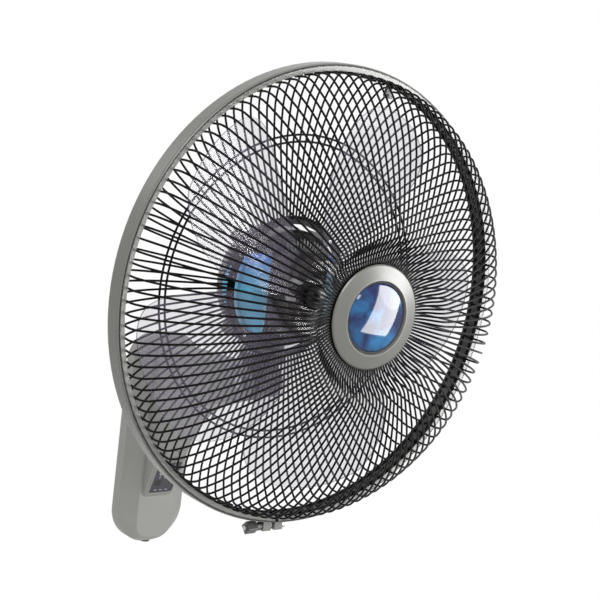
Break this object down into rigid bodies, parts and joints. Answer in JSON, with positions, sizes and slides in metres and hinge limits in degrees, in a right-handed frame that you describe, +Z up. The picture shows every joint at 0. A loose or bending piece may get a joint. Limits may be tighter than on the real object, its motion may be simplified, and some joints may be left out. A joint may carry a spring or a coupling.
{
  "type": "wall mounted fan",
  "caption": "Wall fan with a domed wire guard, translucent blades, tilting and swinging head, and a control panel on its wall unit.",
  "frame": {"origin": "middle of the wall bracket's screw pattern, on the wall plane", "axes": "+Z up, -Y is the way the fan faces and blows, +X to the right seen from the front"},
  "size_m": [0.459, 0.3636, 0.5667],
  "materials": {
    "case_grey": "satin moulded ABS",
    "neck_grey": "satin moulded nylon",
    "cap_grey": "satin moulded ABS",
    "band_grey": "satin moulded polypropylene",
    "black_plastic": "fine textured ABS",
    "blue_gloss": "polished acrylic",
    "smoky_clear": "clear tinted AS resin",
    "wire_black": "black epoxy powder coat",
    "badge_grey": "satin moulded ABS",
    "gem_blue": "domed polished acrylic",
    "label_purple": "printed polycarbonate film",
    "window_black": "polished infrared window",
    "lamp_clear": "clear light pipe",
    "button_grey": "satin keycap",
    "steel": "zinc plated",
    "laminations": "stacked silicon steel",
    "copper": "varnished winding",
    "bronze": "sintered bronze",
    "board_green": "solder mask",
    "rubber_black": "moulded rubber",
    "terminal_white": "moulded polyamide"
  },
  "bodies": {
    "wall_unit": {"wall_bracket": "steel", "rear_case": "case_grey", "front_case": "case_grey", "arm_cover": "case_grey", "case_screws": "steel", "cord_gland": "rubber_black", "terminal_block": "terminal_white", "run_capacitor": "black_plastic", "control_board": "board_green", "board_screws": "steel", "tact_switches": "black_plastic", "control_label": "label_purple", "ir_window": "window_black", "led_lenses": "lamp_clear", "tilt_bracket": "steel", "tilt_bolt": "steel", "tilt_nut": "steel", "tilt_washers": "steel"},
    "neck": {"neck_housing": "neck_grey", "swing_slot_plate": "steel", "swing_post": "steel", "post_clip": "steel"},
    "head": {"swing_case": "neck_grey", "swing_bush": "bronze", "swing_motor": "steel", "motor_front_cover": "black_plastic", "motor_rear_cover": "cap_grey", "side_panel_left": "blue_gloss", "side_panel_right": "blue_gloss", "stator_core": "laminations", "stator_windings": "copper", "front_end_shield": "steel", "rear_end_shield": "steel", "front_bearing": "steel", "rear_bearing": "steel", "motor_bolts": "steel", "rear_guard_wires": "wire_black", "rear_guard_rings": "wire_black", "rear_guard_plate": "wire_black", "head_screws": "steel", "guard_band": "band_grey", "clamp_screw": "steel", "clamp_nut": "neck_grey", "guard_hook": "black_plastic", "front_guard_wires": "wire_black", "front_guard_rings": "wire_black", "badge_ring": "badge_grey", "badge_gem": "gem_blue", "badge_back": "black_plastic"},
    "rotor": {"motor_shaft": "steel", "drive_pin": "steel", "rotor_core": "laminations", "fan_blades": "smoky_clear", "blade_nut": "black_plastic"},
    "crank": {"swing_crank": "steel"},
    "power_key": {"power_button": "button_grey"},
    "swing_key": {"swing_button": "button_grey"},
    "speed_key": {"speed_button": "button_grey"},
    "mode_key": {"mode_button": "button_grey"},
    "timer_key": {"timer_button": "button_grey"}
  },
  "joints": [
    {"name": "tilt", "type": "hinge", "parent": "wall_unit", "child": "neck", "pos_m": [0, -0.186, 0.06], "axis": [1, 0, 0], "range_deg": [-10, 25]},
    {"name": "swing", "type": "hinge", "parent": "neck", "child": "head", "pos_m": [0, -0.188, 0.1], "axis": [0, 0, 1], "range_deg": [-45, 45]},
    {"name": "fan_spin", "type": "hinge", "parent": "head", "child": "rotor", "pos_m": [0, -0.27, 0.165], "axis": [0, -1, 0], "continuous": true},
    {"name": "crank_turn", "type": "hinge", "parent": "head", "child": "crank", "pos_m": [0, -0.198, 0.0965], "axis": [0, 0, 1], "range_deg": [-90, 90]},
    {"name": "power_press", "type": "slide", "parent": "wall_unit", "child": "power_key", "axis": [0, 0.9244, 0.3815], "range_m": [0, 0.0008], "stiffness_N_per_m": 1500},
    {"name": "swing_press", "type": "slide", "parent": "wall_unit", "child": "swing_key", "axis": [0, 0.9244, 0.3815], "range_m": [0, 0.0008], "stiffness_N_per_m": 1500},
    {"name": "speed_press", "type": "slide", "parent": "wall_unit", "child": "speed_key", "axis": [0, 0.9244, 0.3815], "range_m": [0, 0.0008], "stiffness_N_per_m": 1500},
    {"name": "mode_press", "type": "slide", "parent": "wall_unit", "child": "mode_key", "axis": [0, 0.9244, 0.3815], "range_m": [0, 0.0008], "stiffness_N_per_m": 1500},
    {"name": "timer_press", "type": "slide", "parent": "wall_unit", "child": "timer_key", "axis": [0, 0.9244, 0.3815], "range_m": [0, 0.0008], "stiffness_N_per_m": 1500}
  ],
  "couplings": [
    {"joint": "crank_turn", "follows": "swing", "ratio": -2}
  ]
}
